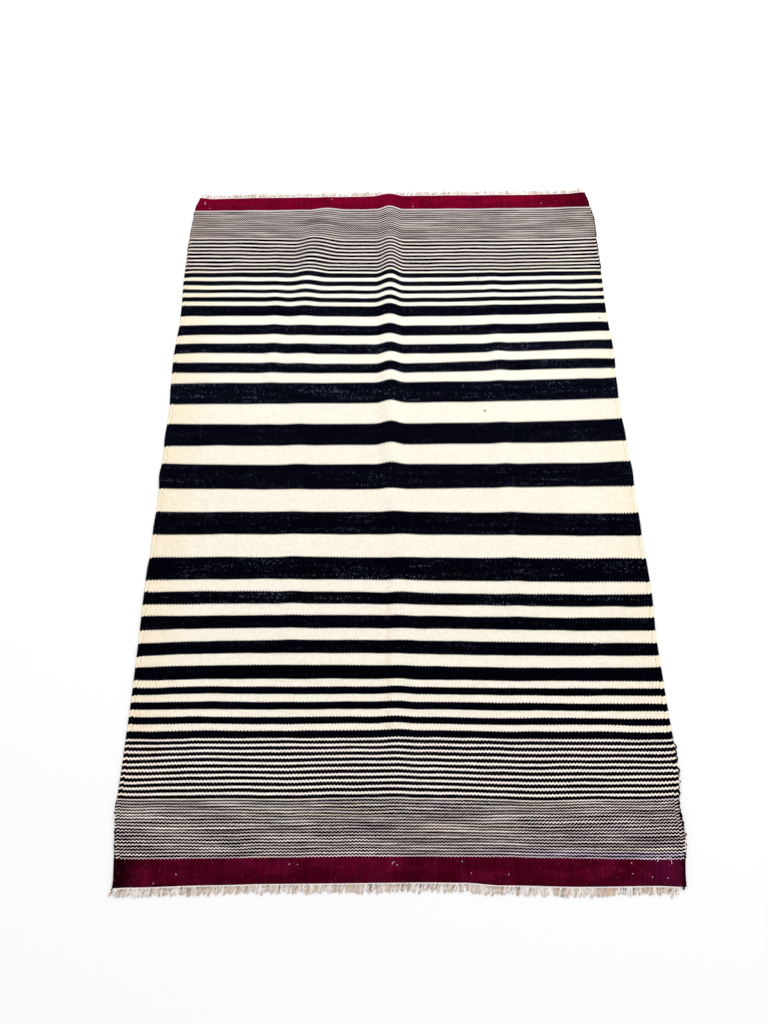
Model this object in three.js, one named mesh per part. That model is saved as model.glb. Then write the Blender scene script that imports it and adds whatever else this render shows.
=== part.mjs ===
// A flat-woven kilim rug, about 1.0 by 1.6 m, laid on a floor, with a short cut fringe at both ends.
// Millimetres. X runs across the rug, Y along it from the near end to the far end, +Z is up.
// The origin is under the middle of the rug, on the floor.
import * as THREE from 'three';

// Driving dimensions of the woven panel
const PANEL_LENGTH = 1570;
const PANEL_THICKNESS = 3;
const SELVEDGE_THICKNESS = 2.2;

// Driving dimensions of the fringes
const STRANDS_PER_END = 145;
const PANEL_TO_HEADING = 0.3;
const HEADING_DEPTH = 2.4;
const HEADING_HEIGHT = 2.4;
const ROOT_WIDTH = 4.2;
const TIP_WIDTH = 2.6;
const TIP_HEIGHT = 1.4;
const TIP_CLEARANCE = 0.8;

// Colours and finish
const WOVEN_COLOUR = 0xf3ead6;
const FRINGE_COLOUR = 0xd9c9ae;
const YARN_ROUGHNESS = 0.95;

// The side edges: how far the left and right selvedges stand from the middle line.
// along is the place on the middle line, measured from the near woven edge.
const SIDES = [
  { along: 0, left: -488.5, right: 485 },
  { along: 35, left: -488, right: 487.5 },
  { along: 80, left: -495.5, right: 495.5 },
  { along: 120, left: -500.3, right: 492.8 },
  { along: 200, left: -498.3, right: 501.5 },
  { along: 310, left: -497.3, right: 499 },
  { along: 420, left: -497.5, right: 498 },
  { along: 520, left: -499, right: 502.5 },
  { along: 575, left: -499, right: 502 },
  { along: 615, left: -495, right: 499.2 },
  { along: 660, left: -497.3, right: 501 },
  { along: 735, left: -494.3, right: 499.5 },
  { along: 785, left: -499, right: 502 },
  { along: 830, left: -494.5, right: 498.2 },
  { along: 875, left: -497.8, right: 498.5 },
  { along: 935, left: -495, right: 494.5 },
  { along: 1005, left: -499.3, right: 497 },
  { along: 1084, left: -501.3, right: 501 },
  { along: 1200, left: -496.3, right: 497 },
  { along: 1310, left: -500.8, right: 499 },
  { along: 1400, left: -500.3, right: 499.8 },
  { along: 1475, left: -498.3, right: 501 },
  { along: 1535, left: -495.5, right: 495.5 },
  { along: 1570, left: -487, right: 489 },
];

// The woven ends: how far each edge stands beyond its straight line, away from the near end.
// across is the share of the half width, from -1 at the left selvedge to 1 at the right one.
const ENDS = [
  { across: -1, near: -3.3, far: -4 },
  { across: -0.93, near: -2.5, far: -8.5 },
  { across: -0.65, near: 0.5, far: -4.6 },
  { across: -0.45, near: 2, far: -4.2 },
  { across: 0.1, near: 3, far: 1 },
  { across: 0.22, near: 2.4, far: 1.5 },
  { across: 0.36, near: -2, far: 2.5 },
  { across: 0.64, near: -4.8, far: 2.8 },
  { across: 0.9, near: -4, far: 6 },
  { across: 1, near: -5.7, far: 12 },
];

// The lengthwise creases: where each crest lies, how high it rises and how far it spreads each way.
const CREASES = {
  middle: [
    { along: 0, across: 0, rise: 1, left: 35, right: 45 },
    { along: 380, across: 2, rise: 2, left: 30, right: 45 },
    { along: 470, across: 3, rise: 4.7, left: 26, right: 45 },
    { along: 545, across: 3, rise: 4.7, left: 26, right: 45 },
    { along: 642, across: 4, rise: 3.7, left: 34, right: 48 },
    { along: 746, across: -12, rise: 6.6, left: 28, right: 44 },
    { along: 850, across: -9, rise: 12.5, left: 35, right: 33 },
    { along: 957, across: -9, rise: 12.4, left: 35, right: 33 },
    { along: 1037, across: -9, rise: 13.7, left: 35, right: 33 },
    { along: 1089, across: -9, rise: 11.5, left: 35, right: 33 },
    { along: 1140, across: -9, rise: 10.1, left: 35, right: 33 },
    { along: 1194, across: -9, rise: 11.7, left: 35, right: 33 },
    { along: 1250, across: -9, rise: 13.2, left: 36, right: 33 },
    { along: 1290, across: -8, rise: 14.3, left: 38, right: 33 },
    { along: 1350, across: -7, rise: 16.2, left: 34, right: 34 },
    { along: 1380, across: -7, rise: 15.6, left: 34, right: 34 },
    { along: 1410, across: -7, rise: 12, left: 34, right: 36 },
    { along: 1526, across: -8, rise: 11.6, left: 34, right: 36 },
    { along: 1570, across: -8, rise: 8, left: 44, right: 40 },
  ],
  inner_left: [
    { along: 380, across: -208, rise: 0, left: 32, right: 36 },
    { along: 445, across: -208, rise: 4, left: 32, right: 36 },
    { along: 520, across: -208, rise: 3, left: 32, right: 36 },
    { along: 746, across: -208, rise: 2.5, left: 34, right: 38 },
    { along: 1037, across: -208, rise: 1.7, left: 36, right: 40 },
    { along: 1089, across: -208, rise: 3.3, left: 36, right: 40 },
    { along: 1140, across: -208, rise: 1.5, left: 36, right: 40 },
    { along: 1194, across: -208, rise: 2.8, left: 36, right: 40 },
    { along: 1250, across: -208, rise: 4.8, left: 36, right: 42 },
    { along: 1290, across: -208, rise: 6.2, left: 36, right: 45 },
    { along: 1340, across: -205, rise: 8.4, left: 40, right: 54 },
    { along: 1385, across: -198, rise: 11.8, left: 47, right: 68 },
    { along: 1420, across: -190, rise: 10.8, left: 52, right: 70 },
    { along: 1526, across: -167, rise: 6.3, left: 48, right: 56 },
    { along: 1570, across: -162, rise: 1.5, left: 48, right: 50 },
  ],
  outer_left: [
    { along: 960, across: -276, rise: 0, left: 28, right: 28 },
    { along: 1037, across: -276, rise: 2.2, left: 28, right: 28 },
    { along: 1089, across: -276, rise: 4.2, left: 28, right: 28 },
    { along: 1140, across: -276, rise: 2.6, left: 28, right: 28 },
    { along: 1248, across: -276, rise: 3.1, left: 28, right: 28 },
    { along: 1290, across: -278, rise: 1.4, left: 28, right: 28 },
    { along: 1420, across: -286, rise: 1.2, left: 28, right: 28 },
    { along: 1480, across: -290, rise: 0, left: 28, right: 28 },
  ],
  right: [
    { along: 400, across: 235, rise: 0, left: 28, right: 28 },
    { along: 470, across: 235, rise: 3.2, left: 28, right: 28 },
    { along: 850, across: 235, rise: 3.5, left: 28, right: 28 },
    { along: 957, across: 235, rise: 1.6, left: 28, right: 28 },
    { along: 1037, across: 235, rise: 3.4, left: 28, right: 28 },
    { along: 1089, across: 235, rise: 4, left: 28, right: 28 },
    { along: 1140, across: 235, rise: 2.4, left: 28, right: 28 },
    { along: 1215, across: 235, rise: 1.6, left: 28, right: 28 },
    { along: 1272, across: 235, rise: 2.3, left: 28, right: 28 },
    { along: 1380, across: 235, rise: 0, left: 28, right: 28 },
  ],
};

// The panel's grid: each zone runs to the next place in this many even steps,
// with the columns closest over the creases.
const COLUMN_ZONES = [
  { to: -0.99, steps: 1 },
  { to: -0.61, steps: 3 },
  { to: -0.49, steps: 4 },
  { to: -0.19, steps: 10 },
  { to: -0.098, steps: 2 },
  { to: 0.062, steps: 10 },
  { to: 0.11, steps: 2 },
  { to: 0.41, steps: 3 },
  { to: 0.53, steps: 4 },
  { to: 0.99, steps: 4 },
  { to: 1, steps: 1 },
];
const ROW_ZONES = [
  { to: 120, steps: 4 },
  { to: 440, steps: 4 },
  { to: 844, steps: 8 },
  { to: 1084, steps: 6 },
  { to: 1244, steps: 4 },
  { to: 1334, steps: 3 },
  { to: 1434, steps: 5 },
  { to: 1570, steps: 6 },
];

// How the strands lie: length past the heading, and how far each tip leans to one side.
const LIE = {
  near: { shortest: 8, longest: 13, lean: -2.6, scatter: 2.2, inset: 12 },
  far: { shortest: 8, longest: 14, lean: 1.2, scatter: 2.4, inset: 6 },
};
const LEAN_WAVE = 0.27;
const LEAN_WAVE_SHARE = 0.6;

// A value of a table at a place between two of its rows, with no kink at the rows.
function between(rows, placeName, place, valueName) {
  if (place <= rows[0][placeName]) {
    return rows[0][valueName];
  }
  for (let i = 1; i < rows.length; i += 1) {
    const low = rows[i - 1];
    const high = rows[i];
    if (place <= high[placeName]) {
      const share = (place - low[placeName]) / (high[placeName] - low[placeName]);
      const eased = share * share * (3 - 2 * share);
      return low[valueName] + (high[valueName] - low[valueName]) * eased;
    }
  }
  return rows[rows.length - 1][valueName];
}

// The same number from 0 to 1 each time for one strand and one of its measures.
function chance(index, measure) {
  const wave = Math.sin(index * 12.9898 + measure * 78.233) * 43758.5453;
  return wave - Math.floor(wave);
}

// The height of the underside above the floor: zero but where a crease lifts it.
function lift(x, along) {
  let height = 0;
  for (const rows of Object.values(CREASES)) {
    const offset = x - between(rows, 'along', along, 'across');
    const spread = between(rows, 'along', along, offset < 0 ? 'left' : 'right');
    if (Math.abs(offset) < spread) {
      const rise = between(rows, 'along', along, 'rise');
      height += (rise * (1 + Math.cos((Math.PI * offset) / spread))) / 2;
    }
  }
  return height;
}

// Where a point of the cloth lies on the floor plan.
function planPoint(across, along) {
  const left = between(SIDES, 'along', along, 'left');
  const right = between(SIDES, 'along', along, 'right');
  const share = along / PANEL_LENGTH;
  const near = between(ENDS, 'across', across, 'near');
  const far = between(ENDS, 'across', across, 'far');
  return {
    x: left + ((across + 1) / 2) * (right - left),
    y: along + near * (1 - share) + far * share,
  };
}

function gridPlaces(start, zones) {
  const places = [start];
  for (const zone of zones) {
    const from = places[places.length - 1];
    for (let i = 1; i <= zone.steps; i += 1) {
      places.push(from + ((zone.to - from) * i) / zone.steps);
    }
  }
  return places;
}

// Collects corners and the four-sided faces between them.
class ClosedBody {
  constructor() {
    this.corners = [];
    this.triangles = [];
  }

  corner(x, y, z) {
    this.corners.push(x, y, z);
    return this.corners.length / 3 - 1;
  }

  // a, b, c and d run counter-clockwise seen from outside.
  face(a, b, c, d) {
    this.triangles.push(a, b, c, a, c, d);
  }

  turnInsideOut() {
    for (let i = 0; i < this.triangles.length; i += 3) {
      const second = this.triangles[i + 1];
      this.triangles[i + 1] = this.triangles[i + 2];
      this.triangles[i + 2] = second;
    }
  }

  geometry() {
    const shape = new THREE.BufferGeometry();
    shape.setAttribute('position', new THREE.Float32BufferAttribute(this.corners, 3));
    shape.setIndex(this.triangles);
    shape.computeVertexNormals();
    return shape;
  }
}

const columns = gridPlaces(-1, COLUMN_ZONES);
const rows = gridPlaces(0, ROW_ZONES);

// The woven panel: one sheet with an even thickness, thinner only at the two selvedges.
function wovenPanel() {
  const body = new ClosedBody();
  const under = [];
  const over = [];
  for (const along of rows) {
    const underRow = [];
    const overRow = [];
    for (const across of columns) {
      const { x, y } = planPoint(across, along);
      const low = lift(x, along);
      const thickness = Math.abs(across) === 1 ? SELVEDGE_THICKNESS : PANEL_THICKNESS;
      underRow.push(body.corner(x, y, low));
      overRow.push(body.corner(x, y, low + thickness));
    }
    under.push(underRow);
    over.push(overRow);
  }
  const lastRow = rows.length - 1;
  const lastColumn = columns.length - 1;
  for (let j = 0; j < lastRow; j += 1) {
    for (let i = 0; i < lastColumn; i += 1) {
      body.face(over[j][i], over[j][i + 1], over[j + 1][i + 1], over[j + 1][i]);
      body.face(under[j][i], under[j + 1][i], under[j + 1][i + 1], under[j][i + 1]);
    }
    body.face(under[j][0], over[j][0], over[j + 1][0], under[j + 1][0]);
    body.face(
      under[j][lastColumn],
      under[j + 1][lastColumn],
      over[j + 1][lastColumn],
      over[j][lastColumn],
    );
  }
  for (let i = 0; i < lastColumn; i += 1) {
    body.face(under[0][i], under[0][i + 1], over[0][i + 1], over[0][i]);
    body.face(
      under[lastRow][i],
      over[lastRow][i],
      over[lastRow][i + 1],
      under[lastRow][i + 1],
    );
  }
  return body.geometry();
}

// The panel's straight-sided end edge, with the height of its underside at each column.
function wovenEdge(along) {
  return columns.map((across) => {
    const { x, y } = planPoint(across, along);
    return { x, y, low: lift(x, along) };
  });
}

// Where that edge lies at x, on the straight stretch between two columns.
function edgeAt(edge, x) {
  const i = Math.max(1, edge.findIndex((point) => point.x >= x));
  const share = (x - edge[i - 1].x) / (edge[i].x - edge[i - 1].x);
  return {
    y: edge[i - 1].y + (edge[i].y - edge[i - 1].y) * share,
    low: edge[i - 1].low + (edge[i].low - edge[i - 1].low) * share,
  };
}

// The heading line of one end, in stations across the rug, with a strand on every second length.
// out is -1 at the near end and 1 at the far end.
function fringe(end, out) {
  const body = new ClosedBody();
  const lie = LIE[end];
  const edge = wovenEdge(out < 0 ? 0 : PANEL_LENGTH);
  const first = edge[0].x + lie.inset / 2;
  const last = edge[edge.length - 1].x - lie.inset;
  const pitch = (last - first) / STRANDS_PER_END;

  // One station of the heading: inner low, inner high, outer high and outer low corner.
  const station = (x) => {
    const { y, low } = edgeAt(edge, x);
    const inner = y + out * PANEL_TO_HEADING;
    const outer = inner + out * HEADING_DEPTH;
    return {
      x,
      outer,
      corners: [
        body.corner(x, inner, low),
        body.corner(x, inner, low + HEADING_HEIGHT),
        body.corner(x, outer, low + HEADING_HEIGHT),
        body.corner(x, outer, low),
      ],
    };
  };

  const stations = [station(first)];
  for (let i = 0; i < STRANDS_PER_END; i += 1) {
    const centre = first + (i + 0.5) * pitch;
    stations.push(station(centre - ROOT_WIDTH / 2), station(centre + ROOT_WIDTH / 2));
  }
  stations.push(station(last));

  // The heading's faces, its outer side left open where a strand grows out of it.
  const opening = stations[0].corners;
  body.face(opening[0], opening[3], opening[2], opening[1]);
  for (let i = 1; i < stations.length; i += 1) {
    const a = stations[i - 1].corners;
    const b = stations[i].corners;
    body.face(a[1], a[2], b[2], b[1]);
    body.face(a[0], b[0], b[3], a[3]);
    body.face(a[0], a[1], b[1], b[0]);
    if (i % 2 === 1) {
      body.face(a[3], b[3], b[2], a[2]);
    }
  }
  const closing = stations[stations.length - 1].corners;
  body.face(closing[0], closing[1], closing[2], closing[3]);

  // The strands: each leaves the heading and lies on the floor, and leans without meeting the next.
  let clearOf = -Infinity;
  for (let i = 0; i < STRANDS_PER_END; i += 1) {
    const left = stations[2 * i + 1];
    const right = stations[2 * i + 2];
    const length = lie.shortest + (lie.longest - lie.shortest) * chance(i, 1);
    const wave = lie.lean * LEAN_WAVE_SHARE * Math.sin(i * LEAN_WAVE);
    const lean = lie.lean + wave + lie.scatter * (2 * chance(i, 2) - 1);
    const wished = (left.x + right.x) / 2 + lean;
    const x = Math.max(wished, clearOf + TIP_CLEARANCE + TIP_WIDTH / 2);
    clearOf = x + TIP_WIDTH / 2;
    const y = (left.outer + right.outer) / 2 + out * length;
    const tip = [
      body.corner(x - TIP_WIDTH / 2, y, 0),
      body.corner(x + TIP_WIDTH / 2, y, 0),
      body.corner(x + TIP_WIDTH / 2, y, TIP_HEIGHT),
      body.corner(x - TIP_WIDTH / 2, y, TIP_HEIGHT),
    ];
    const root = [left.corners[3], right.corners[3], right.corners[2], left.corners[2]];
    for (let side = 0; side < 4; side += 1) {
      const next = (side + 1) % 4;
      body.face(tip[side], root[side], root[next], tip[next]);
    }
    body.face(tip[0], tip[1], tip[2], tip[3]);
  }
  if (out > 0) {
    body.turnInsideOut();
  }
  return body.geometry();
}

function finishedPiece(name, shape, colour) {
  const material = new THREE.MeshStandardMaterial({
    color: colour,
    roughness: YARN_ROUGHNESS,
    metalness: 0,
  });
  const piece = new THREE.Mesh(shape, material);
  piece.name = name;
  return piece;
}

const rug = new THREE.Group();
rug.add(
  finishedPiece('rug_panel', wovenPanel(), WOVEN_COLOUR),
  finishedPiece('fringe_near', fringe('near', -1), FRINGE_COLOUR),
  finishedPiece('fringe_far', fringe('far', 1), FRINGE_COLOUR),
);

// The tables count from the near woven edge, so the whole rug moves to stand about its middle.
const extent = new THREE.Box3().setFromObject(rug);
const centre = extent.getCenter(new THREE.Vector3());
rug.position.set(-centre.x, -centre.y, 0);

export default rug;
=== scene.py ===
# A flat-woven kilim rug on a pale floor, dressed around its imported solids.
# Lengths are millimetres in the tables and in the working. MM makes metres of them for a mesh.
# x runs across the rug and along runs from its near woven edge to its far one.
import math
import bpy
import numpy as np
from mathutils import Matrix, Vector


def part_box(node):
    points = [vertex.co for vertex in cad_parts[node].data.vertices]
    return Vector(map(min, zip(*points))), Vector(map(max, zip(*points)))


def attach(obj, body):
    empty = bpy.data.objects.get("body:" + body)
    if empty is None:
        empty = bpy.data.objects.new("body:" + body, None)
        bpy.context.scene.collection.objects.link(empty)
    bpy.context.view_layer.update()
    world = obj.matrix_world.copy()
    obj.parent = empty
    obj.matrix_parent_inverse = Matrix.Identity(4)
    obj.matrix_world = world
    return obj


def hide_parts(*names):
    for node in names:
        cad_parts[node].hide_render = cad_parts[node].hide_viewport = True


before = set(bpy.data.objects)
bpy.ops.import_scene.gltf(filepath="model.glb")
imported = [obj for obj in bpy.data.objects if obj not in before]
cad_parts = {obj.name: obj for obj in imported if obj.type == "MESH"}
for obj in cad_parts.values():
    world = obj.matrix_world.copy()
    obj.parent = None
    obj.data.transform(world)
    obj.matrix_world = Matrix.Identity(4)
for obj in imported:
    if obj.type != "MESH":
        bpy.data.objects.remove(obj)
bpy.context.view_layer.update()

MM = 0.001


def table(columns, *rows):
    """A short table, kept as one array for each named column."""
    return dict(zip(columns.split(), np.array(rows, float).T))


def bracket(places, place):
    """The place in a row of places that comes next, and the share of the way to it from the last."""
    i = np.clip(np.searchsorted(places, place, side="right"), 1, len(places) - 1)
    return i, (place - places[i - 1]) / (places[i] - places[i - 1])


def eased(share):
    """A share of the way that starts and stops softly."""
    return share * share * (3 - 2 * share)


def between(rows, name, place):
    """A column of a table at places between its rows, with no kink at the rows, as the solids have it.
    The table's first column holds the places of its rows."""
    places, *_ = rows.values()
    values = rows[name]
    i, share = bracket(places, np.clip(place, places[0], places[-1]))
    return values[i - 1] + (values[i] - values[i - 1]) * eased(share)


# The panel, with the same driving sizes as its solid
PANEL_LENGTH = 1570.0
CREST_HEIGHT = 3.0
VALLEY_HEIGHT = 2.45
EDGE_HEIGHT = 1.3
SELVEDGE_CREST = 2.75

# The weave: ribs over the warps, a few thick ones at each selvedge, and the picks that cross them
RIBS = 316
EDGE_RIBS = 2
EDGE_STRIP = 9.0
HALF_WIDTH = 500.0
COLUMNS_PER_RIB = 4
PICK = 1.22
PICKS_PER_FLOAT = 2

# The side edges: how far the left and right selvedges stand from the middle line
SIDES = table(
    "along left right",
    (0, -488.5, 485),
    (35, -488, 487.5),
    (80, -495.5, 495.5),
    (120, -500.3, 492.8),
    (200, -498.3, 501.5),
    (310, -497.3, 499),
    (420, -497.5, 498),
    (520, -499, 502.5),
    (575, -499, 502),
    (615, -495, 499.2),
    (660, -497.3, 501),
    (735, -494.3, 499.5),
    (785, -499, 502),
    (830, -494.5, 498.2),
    (875, -497.8, 498.5),
    (935, -495, 494.5),
    (1005, -499.3, 497),
    (1084, -501.3, 501),
    (1200, -496.3, 497),
    (1310, -500.8, 499),
    (1400, -500.3, 499.8),
    (1475, -498.3, 501),
    (1535, -495.5, 495.5),
    (1570, -487, 489),
)

# The woven ends: how far each edge stands beyond its straight line, away from the near end
ENDS = table(
    "across near far",
    (-1, -3.3, -4),
    (-0.93, -2.5, -8.5),
    (-0.65, 0.5, -4.6),
    (-0.45, 2, -4.2),
    (0.1, 3, 1),
    (0.22, 2.4, 1.5),
    (0.36, -2, 2.5),
    (0.64, -4.8, 2.8),
    (0.9, -4, 6),
    (1, -5.7, 12),
)

# The lengthwise creases: where each crest lies, how high it rises and how far it spreads each way
MIDDLE_CREASE = table(
    "along across rise left right",
    (0, 0, 1, 35, 45),
    (380, 2, 2, 30, 45),
    (470, 3, 4.7, 26, 45),
    (545, 3, 4.7, 26, 45),
    (642, 4, 3.7, 34, 48),
    (746, -12, 6.6, 28, 44),
    (850, -9, 12.5, 35, 33),
    (957, -9, 12.4, 35, 33),
    (1037, -9, 13.7, 35, 33),
    (1089, -9, 11.5, 35, 33),
    (1140, -9, 10.1, 35, 33),
    (1194, -9, 11.7, 35, 33),
    (1250, -9, 13.2, 36, 33),
    (1290, -8, 14.3, 38, 33),
    (1350, -7, 16.2, 34, 34),
    (1380, -7, 15.6, 34, 34),
    (1410, -7, 12, 34, 36),
    (1526, -8, 11.6, 34, 36),
    (1570, -8, 8, 44, 40),
)
INNER_LEFT_CREASE = table(
    "along across rise left right",
    (380, -208, 0, 32, 36),
    (445, -208, 4, 32, 36),
    (520, -208, 3, 32, 36),
    (746, -208, 2.5, 34, 38),
    (1037, -208, 1.7, 36, 40),
    (1089, -208, 3.3, 36, 40),
    (1140, -208, 1.5, 36, 40),
    (1194, -208, 2.8, 36, 40),
    (1250, -208, 4.8, 36, 42),
    (1290, -208, 6.2, 36, 45),
    (1340, -205, 8.4, 40, 54),
    (1385, -198, 11.8, 47, 68),
    (1420, -190, 10.8, 52, 70),
    (1526, -167, 6.3, 48, 56),
    (1570, -162, 1.5, 48, 50),
)
OUTER_LEFT_CREASE = table(
    "along across rise left right",
    (960, -276, 0, 28, 28),
    (1037, -276, 2.2, 28, 28),
    (1089, -276, 4.2, 28, 28),
    (1140, -276, 2.6, 28, 28),
    (1248, -276, 3.1, 28, 28),
    (1290, -278, 1.4, 28, 28),
    (1420, -286, 1.2, 28, 28),
    (1480, -290, 0, 28, 28),
)
RIGHT_CREASE = table(
    "along across rise left right",
    (400, 235, 0, 28, 28),
    (470, 235, 3.2, 28, 28),
    (850, 235, 3.5, 28, 28),
    (957, 235, 1.6, 28, 28),
    (1037, 235, 3.4, 28, 28),
    (1089, 235, 4, 28, 28),
    (1140, 235, 2.4, 28, 28),
    (1215, 235, 1.6, 28, 28),
    (1272, 235, 2.3, 28, 28),
    (1380, 235, 0, 28, 28),
)
CREASES = (MIDDLE_CREASE, INNER_LEFT_CREASE, OUTER_LEFT_CREASE, RIGHT_CREASE)

# How far the stripes drift along the rug from straight lines, at five places across it
DRIFT_PLACES = (-0.96, -0.48, 0, 0.48, 0.96)
DRIFT = table(
    "along far_left left middle right far_right",
    (42, 0, 1, 2, -1, -5),
    (60, 1, 0, 0.5, -2, -4),
    (85, 3, 1.5, 1.5, -3, -2),
    (110, 3.5, 2, 0.5, -2, -1.5),
    (135, 2.5, 1, 3, -3, -1),
    (150, -0.5, 1, 3.5, -3, -2),
    (184, -0.5, 1, 1.5, -5.5, -5),
    (236, 0, 0.5, 1.5, -3, -5),
    (278, 2, 0.5, 0.5, -3.5, -5.5),
    (333, 0, 1, 0, -4, -5.5),
    (373, -1, 2, 0, -5.5, -5.5),
    (420, -2, 3, 1.5, -3, -6),
    (471, 1, 2, 0, -4, -6),
    (519, 2, 3, -0.5, -5, -7),
    (592, 2, 2, 0, -2.5, -4),
    (692, 2, 1, 0, -3, -5),
    (747, 2, -1, -1, 1.5, 4),
    (805, 2, -1, -1, -1, 4),
    (853, -2, -1.5, -0.5, 2, 7),
    (904, 0, -2, -1, 1.5, 9),
    (958, -3, -2, -0.5, 2.5, 9),
    (1010, -1, -1, -0.5, 3, 10),
    (1063, 1, -1.5, -2.5, 5, 10),
    (1116, 0, 0, -3, 0.5, 9),
    (1168, 0, 0, -2.5, 0.3, 8),
    (1224, 1, -1, -2, 1, 6),
    (1248, 1, 0, -3, 0, 4),
    (1271, 2, 0, -2, 0, 3),
    (1297, 1.5, 0, -1.5, 0.5, 5),
    (1323, 0, 0, -2.5, -0.5, 2.5),
    (1340, 0.5, -1, -3, -0.5, 2.5),
    (1365, 2.5, -1, -4, -1.5, 1.5),
    (1390, 4, 0, -4, -2.5, 1.5),
    (1430, 4, 0, -4, -3, 1),
    (1526, -5, -3, -1, 0, 5),
)

# How much farther they lie some way in from either selvedge
SIDE_RISES = table(
    "along left right",
    (42, 0, 0),
    (85, 0, 1),
    (150, 4, 3.5),
    (215, 3, 3),
    (253, 2, 2.5),
    (305, 1.5, 1),
    (373, 1, 1.5),
    (420, 0, 0),
    (1323, 0, 0),
    (1340, 0, -2),
    (1430, 0, -2),
    (1526, 0, 0),
)
SIDE_RISE_AT = 370.0
SIDE_RISE_INWARD = 190.0
SIDE_RISE_OUTWARD = 130.0

# The single near-black stripes, between cream ones
STRIPES = table(
    "start end flecks",
    (240, 253, 0.05),
    (265.5, 277.7, 0.05),
    (291.7, 305.3, 0.05),
    (320, 333.3, 0.05),
    (347.5, 373.2, 0.1),
    (395.8, 420.5, 0.15),
    (444.9, 471, 0.2),
    (494, 519, 0.6),
    (544.2, 592.2, 0.6),
    (641.9, 692.7, 0.4),
    (745.9, 804.6, 0.35),
    (851.4, 904.6, 0.2),
    (956.7, 1010.2, 0.7),
    (1036.6, 1063, 0.6),
    (1089, 1115.9, 0.7),
    (1140.2, 1168.2, 0.3),
    (1194, 1224, 0.3),
    (1235.9, 1248.3, 0.3),
    (1260.5, 1270.9, 0.3),
    (1283.6, 1297, 0.3),
    (1308.7, 1322.7, 0.3),
)

# The runs of fine lines: how many there are, the picks to each, the share of each that is dark,
# and how unevenly wide the lines are
RUNS = table(
    "start end lines picks dark_from dark_to uneven",
    (42, 133.5, 18, 4, 0.28, 1, 0.6),
    (135, 240, 10, 8, 0, 0.64, 0.14),
    (1327.4, 1429.5, 9, 8, 0, 0.715, 0.14),
    (1429.5, 1524.3, 14, 6, 0, 0.71, 0.8),
)
RUN_ENDS = (RUNS["start"], RUNS["end"])
NEAR_BAND_END = 42.0
FAR_BAND_START = 1526.0

# The greatest distance from one row of the panel's mesh to the next
ROW_GAPS = table("along gap", (0, 25), (140, 25), (250, 54), (1000, 54), (1050, 28), (1570, 25))
UNDER_ROWS = 16


def weave_marks():
    """Where the stripes start and end, along the rug, and the number of picks up to each place."""
    stretches = [(start, end, lines * picks) for start, end, lines, picks, *_ in zip(*RUNS.values())]
    stretches += [(start, end, 0) for start, end, _ in zip(*STRIPES.values())]
    stretches += [(PANEL_LENGTH, PANEL_LENGTH, 0)]
    places, picks = [0.0], [0.0]

    def reach(place, count):
        gap = place - places[-1]
        if gap > 0:
            even = PICKS_PER_FLOAT * max(1, round(gap / PICK / PICKS_PER_FLOAT))
            places.append(place)
            picks.append(picks[-1] + (count or even))

    for start, end, count in sorted(stretches):
        reach(start, 0)
        reach(end, count)
    return np.array(places), np.array(picks)


MARKS, MARK_PICKS = weave_marks()


def picks_at(along):
    """The number of picks up to places along the rug."""
    return np.interp(along, MARKS, MARK_PICKS)


def row_places():
    """The rows of the panel's mesh: one on each edge of a stripe, and more where the next is far."""
    rows = [0.0]
    for place in MARKS[1:]:
        gap = np.interp(place, ROW_GAPS["along"], ROW_GAPS["gap"])
        steps = max(1, math.ceil((place - rows[-1]) / gap))
        rows += list(np.linspace(rows[-1], place, steps + 1)[1:])
    return np.array(rows)


def rib_places():
    """The columns of the panel's mesh, counted in ribs, and how far across each one stands."""
    ribs = np.arange(RIBS * COLUMNS_PER_RIB + 1) / COLUMNS_PER_RIB
    strip = EDGE_STRIP / HALF_WIDTH
    across = np.interp(ribs, (0, EDGE_RIBS, RIBS - EDGE_RIBS, RIBS), (-1, strip - 1, 1 - strip, 1))
    return ribs, across


# A small rise of the lines over the crease in the middle
ARCH_HEIGHT = 2.1
ARCH_MIDDLE = -4.0
ARCH_SPREAD = 42.0
ARCH_ALONG = 270.0
ARCH_REACH = 160.0
DRIFT_DEGREE = len(DRIFT_PLACES) - 1


def drift(across, along):
    """How far a stripe lies from its straight place."""
    _, *columns = DRIFT.values()
    curves = np.polyfit(DRIFT_PLACES, np.array(columns), DRIFT_DEGREE)
    inner = [np.polyval(curve, across) for curve in curves.T]
    rows = np.array([between(ENDS, "near", across), *inner, between(ENDS, "far", across)])
    places = np.concatenate(([0.0], DRIFT["along"], [PANEL_LENGTH]))
    i, share = bracket(places, along)
    before, after = (np.take_along_axis(rows, row[None], axis=0)[0] for row in (i - 1, i))
    return before * (1 - share) + after * share


def bump(offset, reach):
    """1 at no offset, falling softly to 0 where the offset comes to the reach."""
    return (1 + np.cos(math.pi * np.clip(np.abs(offset) / reach, 0, 1))) / 2


def side_rise(across, along):
    """How much farther a stripe lies between the middle and either selvedge."""
    x = across * HALF_WIDTH
    from_rise = np.abs(x) - SIDE_RISE_AT
    share = bump(from_rise, np.where(from_rise < 0, SIDE_RISE_INWARD, SIDE_RISE_OUTWARD))
    left, right = (between(SIDE_RISES, side, along) for side in ("left", "right"))
    return share * np.where(x < 0, left, right)


def cloth_place(across, along):
    """The floor plan of points of the cloth, and the solid's own count along the rug there."""
    across, along = np.broadcast_arrays(across, along)
    arch = bump(across * HALF_WIDTH - ARCH_MIDDLE, ARCH_SPREAD) * bump(along - ARCH_ALONG, ARCH_REACH)
    y = along + drift(across, along) + side_rise(across, along) + ARCH_HEIGHT * arch
    share = y / PANEL_LENGTH
    near, far = (between(ENDS, end, across) for end in ("near", "far"))
    solid_along = y - near * (1 - share) - far * share
    left, right = (between(SIDES, side, solid_along) for side in ("left", "right"))
    return left + (across + 1) / 2 * (right - left), y, solid_along


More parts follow.
